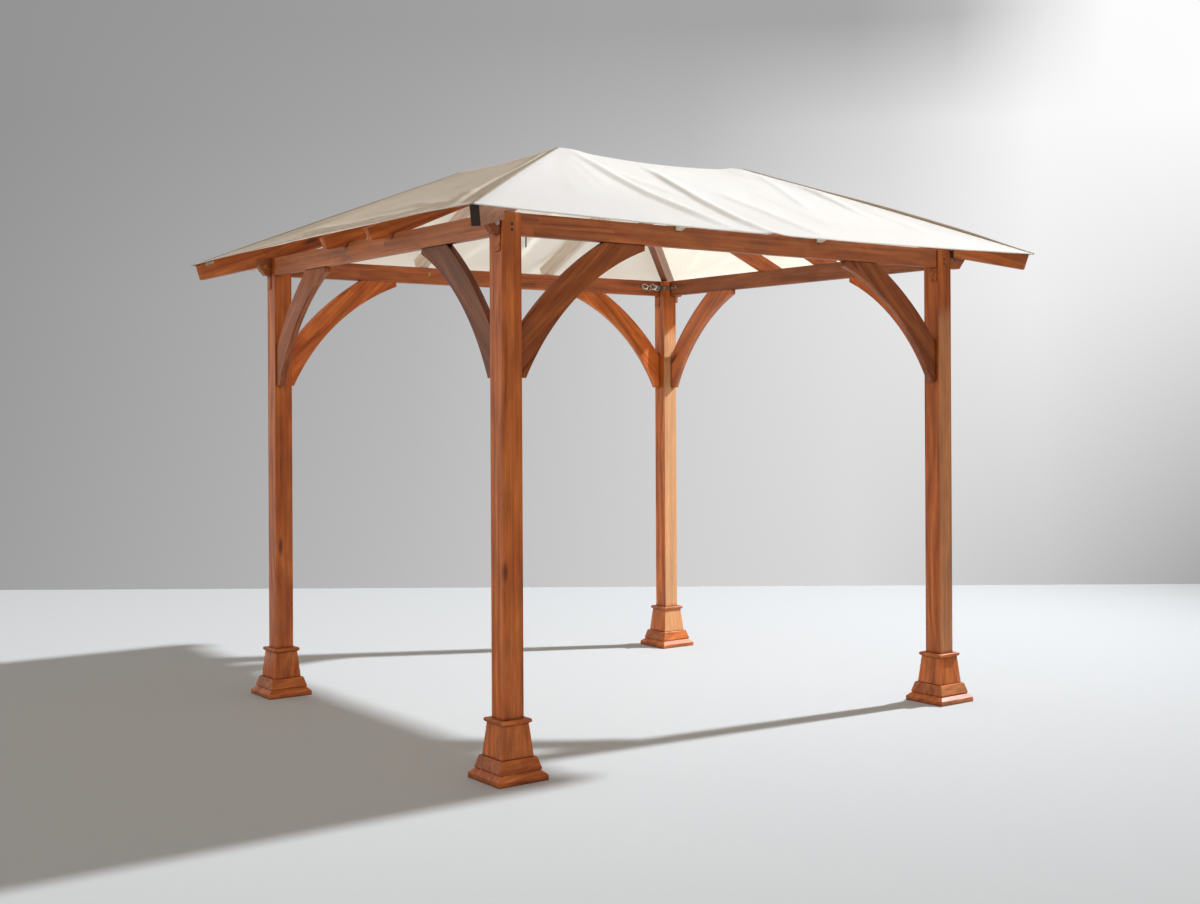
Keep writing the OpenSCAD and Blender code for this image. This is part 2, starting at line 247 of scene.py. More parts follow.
def stainedTimber(name, grain, joints, shade, paintedSunlight, dusty, pale, mirrored=False, endGrain=0.8):
    made = newMaterial(name)
    tree = made.node_tree
    place, facing = layAlongGrain(tree, grain, mirrored)
    along, across, upward = add(tree, "ShaderNodeSeparateXYZ", {0: place}).outputs
    tone = boardTone(tree, along, across, upward)
    drift, streaks, fibres, clouds = (mottle(tree, place, *spots) for spots in figure.values())
    look = woodFigure(tree, across, upward, drift, streaks, tone, joints)
    colour = ramp(tree, look, [(stop, timber[shadeName]) for shadeName, stop in timber["stops"].items()])
    if joints > 0:
        spread = boards["toneSpread"] * joints
        colour = dye(tree, colour, grey(tree, remap(tree, tone, 0.0, 1.0, 1.0 - spread, 1.0 + spread)))
        paleBlock = remap(tree, tone, *boards["paleAbove"], 0.0, boards["paleShare"] * joints)
        colour = mixColour(tree, paleBlock, colour, timber["pale"])
    colour = dye(tree, colour, grey(tree, remap(tree, clouds, *shading["clouds"])))
    for share, rubbed in ((dusty, timber["dusty"]), (pale, timber["bare"])):
        if share > 0:
            rub = dye(tree, grey(tree, remap(tree, streaks, *shading["rubbed"])), rubbed)
            colour = mixColour(tree, share, colour, rub)
    if paintedSunlight > 0:
        colour = paintSunlitSide(tree, colour, facing, streaks, paintedSunlight)
    colour = mixColour(tree, times(tree, knotSpots(tree, place), knots["share"]), colour, timber["knot"])

    endOn = vectorMaths(tree, "DOT_PRODUCT", facing, tuple(Vector(grain).normalized()))
    endShade = remap(tree, maths(tree, "ABSOLUTE", endOn), *endGrainFacing, shade, shade * endGrain)
    # painted shade: ambient occlusion darkens the wood at joints, corners and recesses
    occlusionShade = add(tree, "ShaderNodeAmbientOcclusion", {"Distance": timber["occludedShadeReach"]},
                   samples=timber["occludedShadeSamples"]).outputs["AO"]
    total = times(tree, remap(tree, fibres, *shading["fibres"]), endShade)
    total = times(tree, total, remap(tree, occlusionShade, *shading["seams"]))
    colour = dye(tree, colour, grey(tree, total))

    rough = remap(tree, streaks, *timber["roughRange"])
    height = plus(tree, times(tree, streaks, timber["streakRelief"]), times(tree, fibres, timber["fibreRelief"]))
    bump = add(tree, "ShaderNodeBump", {
        "Height": height, "Strength": timber["relief"], "Distance": timber["reliefDepth"]}).outputs[0]
    shader = add(tree, "ShaderNodeBsdfPrincipled", {
        "Base Color": colour, "Roughness": rough, "Normal": bump, "Specular IOR Level": timber["shine"],
        "Coat Weight": timber["coat"], "Coat Roughness": timber["coatRough"]})
    add(tree, "ShaderNodeOutputMaterial", {"Surface": shader.outputs[0]})
    return made


roofLow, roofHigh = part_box("canopy_front")
topLow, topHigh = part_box("canopy_top")
roof = {
    "eaveX": roofHigh.x, "eaveY": -roofLow.y, "eaveZ": roofLow.z,
    "crownX": topHigh.x, "crownY": topHigh.y, "crownZ": topLow.z,
}
runX = roof["eaveX"] - roof["crownX"]
runY = roof["eaveY"] - roof["crownY"]
rise = roof["crownZ"] - roof["eaveZ"]

# for each kind of piece: its grain, whether four corners mirror it, how clearly its joined lengths differ, and
# the shade of its end grain
woods = {
    "upright": {"grain": (0, 0, 1), "joints": 0.0},
    "base": {"grain": (0, 0, 1), "joints": 0.12},
    "alongX": {"grain": (1, 0, 0), "joints": 0.26},
    "alongY": {"grain": (0, 1, 0), "joints": 0.24},
    "trim": {"grain": (1, 0.2, 0), "joints": 0.15},
    # hips: end grain takes the stain darker, and is painted almost black as the shade in the gap under the
    # canvas
    "hip": {"grain": (-runX, -runY, rise), "mirrored": True, "joints": 0.2, "endGrain": 0.07},
    "endRafter": {"grain": (-runX, 0, rise), "mirrored": True, "joints": 0.2, "endGrain": 1.15},
    "sideRafter": {"grain": (0, -runY, rise), "mirrored": True, "joints": 0.2, "endGrain": 1.15},
    "longBrace": {"grain": (-1, 0, 0.95), "mirrored": True, "joints": 0.04},
    "shortBrace": {"grain": (0, -1, 0.97), "mirrored": True, "joints": 0.04},
}
kindOf = {
    "post": "upright", "pedestal": "base", "foot": "trim", "collar": "trim", "packing": "alongX",
    "end": "endRafter", "side": "sideRafter", "hip": "hip",
}
boardShade = {  # no two boards take the stain alike
    "post_front_left": 1.08, "post_back_left": 1.06, "post_front_right": 0.90, "post_back_right": 1.10,
    "pedestal_front_left": 1.05, "pedestal_back_right": 1.15, "packing_blocks": 1.15,
    "beam_front": 0.88, "beam_left": 1.22, "beam_back": 1.05, "beam_right": 0.76,
    "brace_front_left": 0.66, "brace_front_right": 0.60, "brace_back_left": 1.30, "brace_back_right": 1.28,
    "brace_left_front": 0.42, "brace_left_back": 0.70, "brace_right_back": 1.35, "brace_right_front": 1.10,
    "hip_front_left": 1.30, "hip_back_left": 1.12, "hip_front_right": 0.85, "hip_back_right": 0.72,
}
dustyBoard = {
    "hip_front_left": 0.85, "hip_back_right": 0.45, "brace_left_front": 0.12, "brace_right_back": 0.3,
    "beam_left": 0.40, "beam_front": 0.14, "beam_back": 0.22, "beam_right": 0.35,
}
paleBoard = {"side_rafters": 0.92}
# painted sunlight on the lit -Y sides of these pieces
paintedSunlitBoards = {
    "post_back_right": 0.74, "post_front_right": 0.34, "pedestal_back_right": 0.60, "foot_front_right": 0.2,
}
finished = {}


def timberFor(name):
    words = name.split("_")
    if words[0] == "brace":
        kind = "longBrace" if words[1] in ("front", "back") else "shortBrace"
    elif words[0] in ("beam", "crown"):
        kind = "alongX" if words[-1] in ("front", "back") else "alongY"
    else:
        kind = kindOf[words[0]]
    look = {
        "shade": boardShade.get(name, 1.0), "paintedSunlight": paintedSunlitBoards.get(name, 0.0),
        "dusty": dustyBoard.get(name, 0.0), "pale": paleBoard.get(name, 0.0),
    }
    finish = (kind, *look.values())
    if finish not in finished:
        finished[finish] = stainedTimber("timber_" + name, **woods[kind], **look)
    return finished[finish]


edges = {"merge": 0.00005, "flat": math.radians(0.5), "ease": 0.0022, "rounds": 2, "sharp": math.radians(35)}
timberPieces = {name: obj for name, obj in nodes.items() if not name.startswith("canopy")}

for name, obj in timberPieces.items():
    obj.data.materials.clear()
    obj.data.materials.append(timberFor(name))
    weld = obj.modifiers.new("merge", "WELD")
    weld.merge_threshold = edges["merge"]
    flat = obj.modifiers.new("flats", "DECIMATE")
    flat.decimate_type = "DISSOLVE"
    flat.angle_limit = edges["flat"]
    ease = obj.modifiers.new("eased_edges", "BEVEL")
    ease.width = edges["ease"]
    ease.segments = edges["rounds"]
    ease.limit_method = "ANGLE"
    ease.angle_limit = edges["sharp"]
print("timber finished on", len(timberPieces), "pieces")


canvas = {
    "alongX": 210, "alongY": 150, "upSlope": 60,  # cuts between the cloth cells each way
    "crownX": 26, "crownY": 20, "crownMargin": 0.03,
    "thick": 0.0016,
    "lift": 0.0032,      # of the cloth's middle over the hips
    "frontSag": 0.020,   # of the long edges between their corners
    "sideSag": 0.006,    # of the short edges
    "crownSag": 0.029,   # of the crown's long edges
    "crownSideSag": 0.008,
    "frontPanelSag": 0.012, "sidePanelSag": 0.012,  # of a slope's middle
    "topSag": 0.034,     # of the flat crown's middle
    "atCrown": 0.9999,  # share of the way up that counts as the crown
    "taut": (0.06, 0.20),  # from a corner of the crown: no sag up to the first, all of it past the second
    "hipLift": {(-1, -1): 0.006, (1, -1): 0.009, (1, 1): 0.006, (-1, 1): 0.001},  # slack over each hip
    "hipReach": 0.075,
    "curl": 0.024, "curlShare": 0.11,  # the short edges turn up a little
    "band": 0.0015, "hem": 0.030,      # a hem's height over the cloth, and its width
    "welt": {(-1, -1): 0.005, (1, -1): 0.015, (1, 1): 0.010, (-1, 1): 0.003},  # height of the piped hip seams
    "weltWidth": 0.013,
    "weltLines": (-0.35, 0.5, 1.0),  # across a seam, in shares of its width
    "weltBase": 0.0006, "weltEnds": 0.35, "weltShoulder": 0.75,
    "weltRise": (0.03, 0.25), "weltFall": (0.45, 0.80),
    "calmHip": 0.07, "calmCrown": 0.95,  # no fold runs over a hip or the crown's edge
    "weaveSlant": (1.09, 1.1),  # how much longer a slope is than its plan: short sides, long sides
}
flutter = {"height": 0.0014, "perMetre": 3.1, "slice": 4.0, "roughness": 0.7, "step": 2.1, "octaves": 3}

# folds over a slope: points as (place along the eave, share of the way up), then the height and the half width
# of the steep side
frontFolds = [
    ([(-0.61, 1.02), (-0.58, 0.68), (-0.55, 0.41), (-0.46, 0.19), (-0.33, -0.04)], 0.0190, 0.025),
    ([(-0.15, 0.96), (-0.195, 0.68), (-0.225, 0.40), (-0.215, 0.15), (-0.08, -0.12)], 0.0200, 0.024),
    ([(-0.59, 0.84), (-0.39, 0.59), (-0.27, 0.42)], 0.0045, 0.030),
    ([(0.02, 0.64), (0.14, 0.35), (0.18, 0.19), (0.26, 0.02)], 0.0080, 0.034),
    ([(0.655, 0.99), (0.665, 0.80), (0.60, 0.58), (0.54, 0.40)], 0.0070, 0.020),
    ([(0.69, 0.99), (0.80, 0.90), (0.875, 0.76), (0.92, 0.60), (0.95, 0.38)], 0.0110, 0.022),
    ([(-0.645, 0.97), (-0.72, 0.85), (-0.98, 0.45), (-1.10, 0.20)], 0.0045, 0.045),
    ([(-0.635, 0.97), (-0.78, 0.66), (-0.90, 0.30)], 0.0040, 0.040),
    ([(-0.625, 0.97), (-0.69, 0.72), (-0.77, 0.40)], 0.0050, 0.034),
    ([(0.98, 0.66), (1.12, 0.40), (1.22, 0.16)], 0.0045, 0.040),
    ([(0.36, 0.78), (0.44, 0.40), (0.50, 0.10)], 0.0030, 0.050),
]
sideFolds = [
    ([(-1.10, 0.26), (-0.72, 0.20), (-0.42, 0.13), (-0.10, 0.09), (0.50, 0.06)], 0.0080, 0.020),
    ([(-1.28, 0.13), (-0.98, 0.19), (-0.66, 0.28), (-0.25, 0.40)], 0.0060, 0.014),
    ([(-1.22, 0.20), (-0.92, 0.31), (-0.62, 0.46)], 0.0065, 0.013),
    ([(-0.60, 0.22), (0.00, 0.20), (0.35, 0.24), (0.85, 0.31)], 0.0090, 0.024),
    ([(-0.60, 0.40), (-0.20, 0.36), (0.30, 0.42)], 0.0030, 0.034),
    ([(0.47, 0.96), (0.70, 0.60), (1.05, 0.22)], 0.0045, 0.034),
    ([(-0.30, 0.90), (-0.42, 0.60), (-0.45, 0.40)], 0.0030, 0.045),
]
foldEnds = {"rise": (-0.02, 0.25), "fall": (0.72, 1.02), "gentleSide": 2.6, "farthest": 6}


def clamp(value):
    return max(0.0, min(1.0, value))


def smooth(value, low, high):
    t = clamp((value - low) / (high - low))
    return t * t * (3 - 2 * t)


def foldHeight(folds, along, up, run):
    total = 0.0
    for points, height, width in folds:
        best = None
        walked = 0.0
        for (x0, b0), (x1, b1) in zip(points, points[1:]):
            dx, dy = x1 - x0, (b1 - b0) * run
            size = math.hypot(dx, dy)
            ox, oy = along - x0, (up - b0) * run
            share = clamp((ox * dx + oy * dy) / (size * size))
            away = math.hypot(ox - share * dx, oy - share * dy)
            if best is None or away < best[0]:
                best = (away, (ox * dy - oy * dx) / size, walked + share * size)
            walked += size
        away, side, place = best
        if away > foldEnds["farthest"] * width:
            continue
        spread = width if side > 0 else foldEnds["gentleSide"] * width
        taper = smooth(place / walked, *foldEnds["rise"]) * (1 - smooth(place / walked, *foldEnds["fall"]))
        total += height * taper * math.exp(-(away / spread) ** 2)
    return total


# the slack cloth of the short side beside each left hip: a dip, then a roll, as shares of its reach and height
hipRoll = {
    "height": {(-1, -1): 0.021, (-1, 1): 0.005},
    "start": 0.024,  # the hip's own top stays covered up to here
    "reach": 0.104, "narrow": 0.034, "narrowFrom": (0.46, 0.76),  # it thins on the way up
    "lower": 0.30, "rise": (0.03, 0.22), "fall": (0.86, 1.0),
    "shape": [(0.0, 0.0), (0.8, -1.0), (1.5, 0.45), (1.8, -0.50), (3.4, -0.25), (6.5, 0.0)],
}


def rollHeight(corner, fromHip, up):
    if corner not in hipRoll["height"]:
        return 0.0
    thin = smooth(up, *hipRoll["narrowFrom"])
    reach = hipRoll["reach"] + (hipRoll["narrow"] - hipRoll["reach"]) * thin
    height = hipRoll["height"][corner] * (1 - hipRoll["lower"] * thin)
    height *= smooth(up, *hipRoll["rise"]) * (1 - smooth(up, *hipRoll["fall"]))
    share = (fromHip - hipRoll["start"]) / reach
    for (s0, h0), (s1, h1) in zip(hipRoll["shape"], hipRoll["shape"][1:]):
        if share <= s1:
            return height * (h0 + (h1 - h0) * smooth(share, s0, s1))
    return 0.0


def slack(x, y):  # from 0 at a corner of the crown to 1
    return smooth(math.hypot(abs(x) - roof["crownX"], abs(y) - roof["crownY"]), *canvas["taut"])


def shares(x, y):  # how far up the short side's slope a place would lie, and up the long side's
    return (roof["eaveX"] - abs(x)) / runX, (roof["eaveY"] - abs(y)) / runY


def cornerAt(x, y):
    return 1 if x > 0 else -1, 1 if y > 0 else -1


def crownHeight(x, y, ripple):
    u, v = x / roof["crownX"], y / roof["crownY"]
    longEdge = canvas["crownSag"] * (1 - u * u)
    shortEdge = canvas["crownSideSag"] * (1 - v * v)
    middle = canvas["topSag"] * (1 - u * u) * (1 - v * v)
    sag = (longEdge * v * v + shortEdge * u * u + middle) * slack(x, y)
    return canvas["lift"] - sag + ripple * (1 - u * u) * (1 - v * v)


def clothHeight(x, y):  # how far the cloth lies above the plane of its panel
    shareX, shareY = shares(x, y)
    spot = Vector((x * flutter["perMetre"], y * flutter["perMetre"], flutter["slice"]))
    ripple = flutter["height"] * noise.fractal(spot, flutter["roughness"], flutter["step"], flutter["octaves"])
    if min(shareX, shareY) >= canvas["atCrown"]:
        return crownHeight(x, y, ripple)
    onShortSide = shareX <= shareY
    if onShortSide:
        up, half, run = shareX, roof["eaveY"] - shareX * runY, runX
        along = -y if x > 0 else y
        edgeSag, crownSag, panelSag, folds = (
            canvas["sideSag"], canvas["crownSideSag"], canvas["sidePanelSag"], sideFolds)
    else:
        up, half, run = shareY, roof["eaveX"] - shareY * runX, runY
        along = -x if y > 0 else x
        edgeSag, crownSag, panelSag, folds = (
            canvas["frontSag"], canvas["crownSag"], canvas["frontPanelSag"], frontFolds)
    up = clamp(up)
    spread = 1 - (along / half) ** 2
    sag = edgeSag * (1 - up) ** 1.5 + crownSag * up ** 2 * slack(x, y) + panelSag * 4 * up * (1 - up)
    sag *= spread
    if onShortSide:
        sag -= spread * canvas["curl"] * max(0.0, 1 - up / canvas["curlShare"]) ** 2
    fromHip = (half - abs(along)) * run / math.hypot(runX, runY)
    corner = cornerAt(x, y)
    hipRise = canvas["hipLift"][corner] * math.sin(math.pi * up)
    hipRise *= math.exp(-(fromHip / canvas["hipReach"]) ** 2)
    if onShortSide:
        hipRise += rollHeight(corner, fromHip, up)
    calm = smooth(fromHip, 0.0, canvas["calmHip"]) * (1 - smooth(up, canvas["calmCrown"], 1.0))
    return canvas["lift"] - sag + hipRise + calm * (foldHeight(folds, along, up, run) + ripple)


cloth = {
    "cool": (0.935, 0.942, 0.965), "warm": (0.96, 0.962, 0.968),  # the two tones that drift over it
    "shortSideShade": (0.845, 0.77, 0.665),  # painted shade: the outside of the short sides is tinted tan, as the warm shade on the unlit side
    "throughTint": (1.0, 0.945, 0.845),
    "through": 0.50, "throughInside": 0.68,  # share of the light that each face lets pass
    "rough": 0.86, "shine": 0.25, "sheen": 0.1, "sheenRough": 0.5,
    "threads": 170.0, "threadWaver": 0.6, "threadDetail": 1.0, "threadDetailScale": 0.5,
    "slubStretch": (30.0, 500.0, 1.0), "slubDetail": 2.0, "slubRelief": 0.6,
    "cloudScale": 1.4, "cloudDetail": 4.0, "cloudRough": 0.55, "stops": {"warm": 0.3, "cool": 0.7},
    "threadShade": (0.2, 1.4, 0.96, 1.02),
    "relief": 0.25, "reliefDepth": 0.0004,
    "turning": (-0.1, 0.1),  # the facing over which the inside passes to the outside
}


def canvasMaterial(name, tone):
    made = newMaterial(name)
    tree = made.node_tree
    place = objectPlace(tree)
    weaveMap = add(tree, "ShaderNodeUVMap", uv_map="weave").outputs[0]
    warp, weft = (add(tree, "ShaderNodeTexWave", {
        "Vector": weaveMap, "Scale": cloth["threads"], "Distortion": cloth["threadWaver"],
        "Detail": cloth["threadDetail"], "Detail Scale": cloth["threadDetailScale"],
    }, wave_type="BANDS", bands_direction=direction).outputs["Fac"] for direction in ("X", "Y"))
    weave = times(tree, warp, weft)
    slub = mottle(tree, weaveMap, cloth["slubDetail"], stretch=cloth["slubStretch"])
    cloud = mottle(tree, place, cloth["cloudDetail"], cloth["cloudRough"], scale=cloth["cloudScale"])
    colour = ramp(tree, cloud, [(stop, cloth[shade]) for shade, stop in cloth["stops"].items()])
    colour = dye(tree, colour, grey(tree, remap(tree, plus(tree, weave, slub), *cloth["threadShade"])))
    # painted shade on the outside of the short sides, which is found from the plan and from the way that the
    # cloth faces
    span = add(tree, "ShaderNodeSeparateXYZ", {0: vectorMaths(tree, "ABSOLUTE", place)}).outputs
    upX = maths(tree, "DIVIDE", maths(tree, "SUBTRACT", roof["eaveX"], span[0]), runX)
    upY = maths(tree, "DIVIDE", maths(tree, "SUBTRACT", roof["eaveY"], span[1]), runY)
    onShortSide = maths(tree, "LESS_THAN", upX, maths(tree, "MINIMUM", upY, 1.0))
    outside = partOf(tree, add(tree, "ShaderNodeNewGeometry").outputs["True Normal"], 2)
    onShortSide = times(tree, onShortSide, maths(tree, "GREATER_THAN", outside, 0.0))
    colour = mixColour(tree, onShortSide, colour, dye(tree, colour, cloth["shortSideShade"]))
    colour = dye(tree, colour, tone)
    relief = plus(tree, weave, times(tree, slub, cloth["slubRelief"]))
    bump = add(tree, "ShaderNodeBump", {
        "Height": relief, "Strength": cloth["relief"], "Distance": cloth["reliefDepth"]}).outputs[0]
    face = add(tree, "ShaderNodeBsdfPrincipled", {
        "Base Color": colour, "Roughness": cloth["rough"], "Normal": bump, "Specular IOR Level": cloth["shine"],
        "Sheen Weight": cloth["sheen"], "Sheen Roughness": cloth["sheenRough"]})
    glow = add(tree, "ShaderNodeBsdfTranslucent", {
        "Color": dye(tree, colour, cloth["throughTint"]), "Normal": bump})
    through = remap(tree, outside, *cloth["turning"], cloth["throughInside"], cloth["through"])
    both = add(tree, "ShaderNodeMixShader", {0: through, 1: face.outputs[0], 2: glow.outputs[0]})
    add(tree, "ShaderNodeOutputMaterial", {"Surface": both.outputs[0]})
    return made


tiny = {"cut": 1e-6, "onLine": 1e-5, "onCrest": 1e-4}


def way(edge):
    run = edge.verts[1].co - edge.verts[0].co
    if abs(run.z) > tiny["cut"]:
        return "upSlope"
    return "alongX" if abs(run.x) > abs(run.y) else "alongY"


def isCrown(edge):
    return min(v.co.z for v in edge.verts) > roof["crownZ"] - tiny["cut"]


def ringOfVerts(bm, halfX, halfY, z):
    return [bm.verts.new((sx * halfX, sy * halfY, z)) for sx, sy in ((-1, -1), (1, -1), (1, 1), (-1, 1))]


def splitEdges(bm, wanted, cuts):
    bmesh.ops.subdivide_edges(bm, edges=[e for e in bm.edges if wanted(e)], cuts=cuts, use_grid_fill=True)


def panelMesh(withTop=False):  # the flat panels, split into cloth cells
    bm = bmesh.new()
    eave = ringOfVerts(bm, roof["eaveX"], roof["eaveY"], roof["eaveZ"])
    crown = ringOfVerts(bm, roof["crownX"], roof["crownY"], roof["crownZ"])
    for i in range(4):
        j = (i + 1) % 4
        bm.faces.new((eave[i], eave[j], crown[j], crown[i]))
    for direction in ("alongX", "alongY", "upSlope"):
        splitEdges(bm, lambda e: way(e) == direction, canvas[direction])
    if withTop:  # the flat crown, in wider cells
        rim = {e for e in bm.edges if isCrown(e)}
        margin = canvas["crownMargin"]
        bm.faces.new(ringOfVerts(bm, roof["crownX"] - margin, roof["crownY"] - margin, roof["crownZ"]))
        for direction, cuts in (("alongX", canvas["crownX"]), ("alongY", canvas["crownY"])):
            splitEdges(bm, lambda e: isCrown(e) and e not in rim and way(e) == direction, cuts)
        rims = [e for e in bm.edges if isCrown(e) and e.is_boundary]
        bmesh.ops.triangle_fill(bm, use_beauty=True, use_dissolve=False, edges=rims)
    return bm


def clothPiece(bm, name, material, over=lambda co: 0.0):
    weave = bm.loops.layers.uv.new("weave")
    shortSlant, longSlant = canvas["weaveSlant"]
    for face in bm.faces:
        middle = face.calc_center_median()
        upX, upY = shares(middle.x, middle.y)
        for loop in face.loops:
            co = loop.vert.co
            loop[weave].uv = (co.y, co.x * shortSlant) if upX < upY else (co.x, co.y * longSlant)
    for vert in bm.verts:
        vert.co.z += clothHeight(vert.co.x, vert.co.y) + over(vert.co)
    faceOutward(bm)
    sewn = pieceFrom(bm, name, material, smooth=True)
    body = sewn.modifiers.new("cloth", "SOLIDIFY")
    body.thickness = canvas["thick"]
    body.offset = 0.0
    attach(sewn, "root")
    return sewn


def splitAlong(bm, point, normal, keep=lambda middle: True):
    faces = [f for f in bm.faces if keep(f.calc_center_median())]
    around = {e for f in faces for e in f.edges}
    verts = {v for f in faces for v in f.verts}
    bmesh.ops.bisect_plane(
        bm, geom=[*verts, *around, *faces], dist=tiny["cut"], plane_co=point, plane_no=normal)


def cutAway(bm, unwanted):
    away = [f for f in bm.faces if unwanted(f.calc_center_median())]
    bmesh.ops.delete(bm, geom=away, context="FACES")


def sewHem():
    bm = panelMesh()
    inX, inY = roof["eaveX"] - canvas["hem"], roof["eaveY"] - canvas["hem"] * runY / runX
    for side in (-1, 1):
        splitAlong(bm, (side * inX, 0, 0), (1, 0, 0))
        splitAlong(bm, (0, side * inY, 0), (0, 1, 0))
    cutAway(bm, lambda middle: abs(middle.x) < inX and abs(middle.y) < inY)
    return clothPiece(bm, "canopy_hem", canvasCloth, lambda co: canvas["band"])


hipWay = Vector((runX, runY)).normalized()


def fromHipLine(x, y):  # plan distance from the nearest hip line, above nought on the short sides
    return (roof["eaveY"] - abs(y)) * hipWay.x - (roof["eaveX"] - abs(x)) * hipWay.y


def weltOver(co):  # a piped seam: highest on the hip line, thinning out at both ends
    up = shares(co.x, co.y)[1]
    ends = canvas["weltEnds"]
    swell = ends + (1 - ends) * smooth(up, *canvas["weltRise"]) * (1 - smooth(up, *canvas["weltFall"]))
    across = fromHipLine(co.x, co.y)
    crest = 0.0
    if abs(across) < tiny["onLine"]:
        crest = 1.0
    elif abs(across - canvas["weltWidth"] * canvas["weltLines"][1]) < tiny["onCrest"]:
        crest = canvas["weltShoulder"]
    return canvas["weltBase"] + canvas["welt"][cornerAt(co.x, co.y)] * swell * crest


def sewSeams():
    bm = panelMesh()
    lines = [canvas["weltWidth"] * share for share in canvas["weltLines"]]
    for sx, sy in corners:
        across = Vector((-hipWay.y * sx, hipWay.x * sy, 0))
        eaveCorner = Vector((sx * roof["eaveX"], sy * roof["eaveY"], 0))
        for reach in lines:
            splitAlong(bm, eaveCorner - across * reach, across, lambda c: c.x * sx > 0 and c.y * sy > 0)
    cutAway(bm, lambda middle: not lines[0] < fromHipLine(middle.x, middle.y) < lines[2])
    return clothPiece(bm, "canopy_hip_seams", bandCloth, weltOver)


canvasCloth = canvasMaterial("canvas", (1.0, 1.0, 1.0))
bandCloth = canvasMaterial("canvas_piping", (0.60, 0.50, 0.36))
canopy = clothPiece(panelMesh(withTop=True), "canopy_canvas", canvasCloth)
hem = sewHem()
seams = sewSeams()
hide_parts("canopy_front", "canopy_back", "canopy_left", "canopy_right", "canopy_top")
print("canopy sewn and draped")


steel = {  # colour, roughness, how metallic
    "zinc_steel": ((0.55, 0.53, 0.49), 0.36, 1.0),
    "bright_zinc": ((0.86, 0.84, 0.78), 0.28, 1.0),
    "dark_screws": ((0.09, 0.085, 0.08), 0.45, 0.8),
    "brass": ((0.72, 0.50, 0.20), 0.30, 1.0),
}
tarnish = {"scale": 140.0, "detail": 3.0, "darker": 0.72, "smoother": 0.08, "rougher": 0.1,
           "range": (0.3, 0.7), "stops": (0.25, 0.7), "relief": 0.15, "reliefDepth": 0.0005}


def metal(name, colour, rough, metallic):
    made = newMaterial(name)
    tree = made.node_tree
    blotch = mottle(tree, objectPlace(tree), tarnish["detail"], scale=tarnish["scale"])
    spread = remap(tree, blotch, *tarnish["range"], rough - tarnish["smoother"], rough + tarnish["rougher"])
    darkStop, fullStop = tarnish["stops"]
    tint = ramp(tree, blotch, [(darkStop, tuple(c * tarnish["darker"] for c in colour)), (fullStop, colour)])
    bump = add(tree, "ShaderNodeBump", {
        "Height": blotch, "Strength": tarnish["relief"], "Distance": tarnish["reliefDepth"]}).outputs[0]
    shader = add(tree, "ShaderNodeBsdfPrincipled", {
        "Base Color": tint, "Metallic": metallic, "Roughness": spread, "Normal": bump})
    add(tree, "ShaderNodeOutputMaterial", {"Surface": shader.outputs[0]})
    return made


metals = {name: metal(name, *look) for name, look in steel.items()}

# every shape below is made at the origin, facing +Z, with the wood's surface at z 0
screw = {"profile": [(0, 0.0006), (0.0018, 0.0006), (0.0026, 0.0024), (0.0050, 0.0028), (0.0070, 0.0012),
                     (0.0073, -0.0020)], "sides": 16}
bolt = {"washer": [(0, -0.0010), (0.0125, -0.0010), (0.0125, 0.0014), (0.0119, 0.0020), (0, 0.0020)],
        "sides": 20, "headFrom": 0.0020, "headRadius": 0.0086, "headTall": 0.0058, "eased": 0.0010}
chain = {"wire": 0.0042, "radius": 0.0205, "height": 0.0, "spin": (0, 0, 1), "round": 8, "steps": 22}
eye = {"wire": 0.0022, "radius": 0.0085, "height": 0.016, "spin": (0, 1, 0), "round": 10, "steps": 24}
perforated = {  # width, thickness, then the holes' pitch and radius
    "wide": (0.036, 0.0022, 0.020, 0.0050),
    "narrow": (0.022, 0.0022, 0.016, 0.0036),
    "tail": (0.006, 0.0022, 0.016, 0.0012),
    "clip": (0.014, 0.003, 0.018, 0.0035),
}
holes = {"sides": 12, "stagger": 0.25, "leastEnd": 0.4}


def circle(bm, sides, radius, matrix, **settings):
    return bmesh.ops.create_circle(bm, segments=sides, radius=radius, matrix=matrix, **settings)["verts"]


def edgesOf(verts):
    return list({e for v in verts for e in v.link_edges})


def spin(bm, geom, steps, centre=(0, 0, 0), axis=(0, 0, 1)):
    bmesh.ops.spin(bm, geom=geom, cent=centre, axis=axis, angle=2 * math.pi, steps=steps, use_merge=True)


def lift(bm, faces, height):  # gives flat faces a thickness, and returns the verts on top
    lifted = bmesh.ops.extrude_face_region(bm, geom=faces)["geom"]
    tops = [g for g in lifted if isinstance(g, bmesh.types.BMVert)]
    bmesh.ops.translate(bm, verts=tops, vec=(0, 0, height))
    return tops


def turned(bm, profile, sides):  # a (radius, height) profile spun round +Z
    verts = [bm.verts.new((radius, 0, height)) for radius, height in profile]
    spin(bm, verts + [bm.edges.new(pair) for pair in zip(verts, verts[1:])], sides)


def screwHead(bm):  # open at the back, inside the wood
    turned(bm, screw["profile"], screw["sides"])


def wireRing(bm, ring):
    matrix = Matrix.Translation((ring["radius"], 0, ring["height"])) @ Matrix.Rotation(math.pi / 2, 4, "X")
    wire = circle(bm, ring["round"], ring["wire"], matrix)
    spin(bm, wire + edgesOf(wire), ring["steps"], (0, 0, ring["height"]), ring["spin"])


def ringLink(bm):
    wireRing(bm, chain)


def hexBolt(bm):
    turned(bm, bolt["washer"], bolt["sides"])
    head = circle(bm, 6, bolt["headRadius"], Matrix.Translation((0, 0, bolt["headFrom"])), cap_ends=True)
    tops = lift(bm, list({f for v in head for f in v.link_faces}), bolt["headTall"])
    rim = [e for e in bm.edges if all(v in tops for v in e.verts)]
    bmesh.ops.bevel(bm, geom=rim, affect="EDGES", offset=bolt["eased"], segments=2, profile=0.5, material=-1)


def ringBolt(bm):  # its ring comes out flat, because the wire's circle spins in its own plane
    hexBolt(bm)
    wireRing(bm, eye)


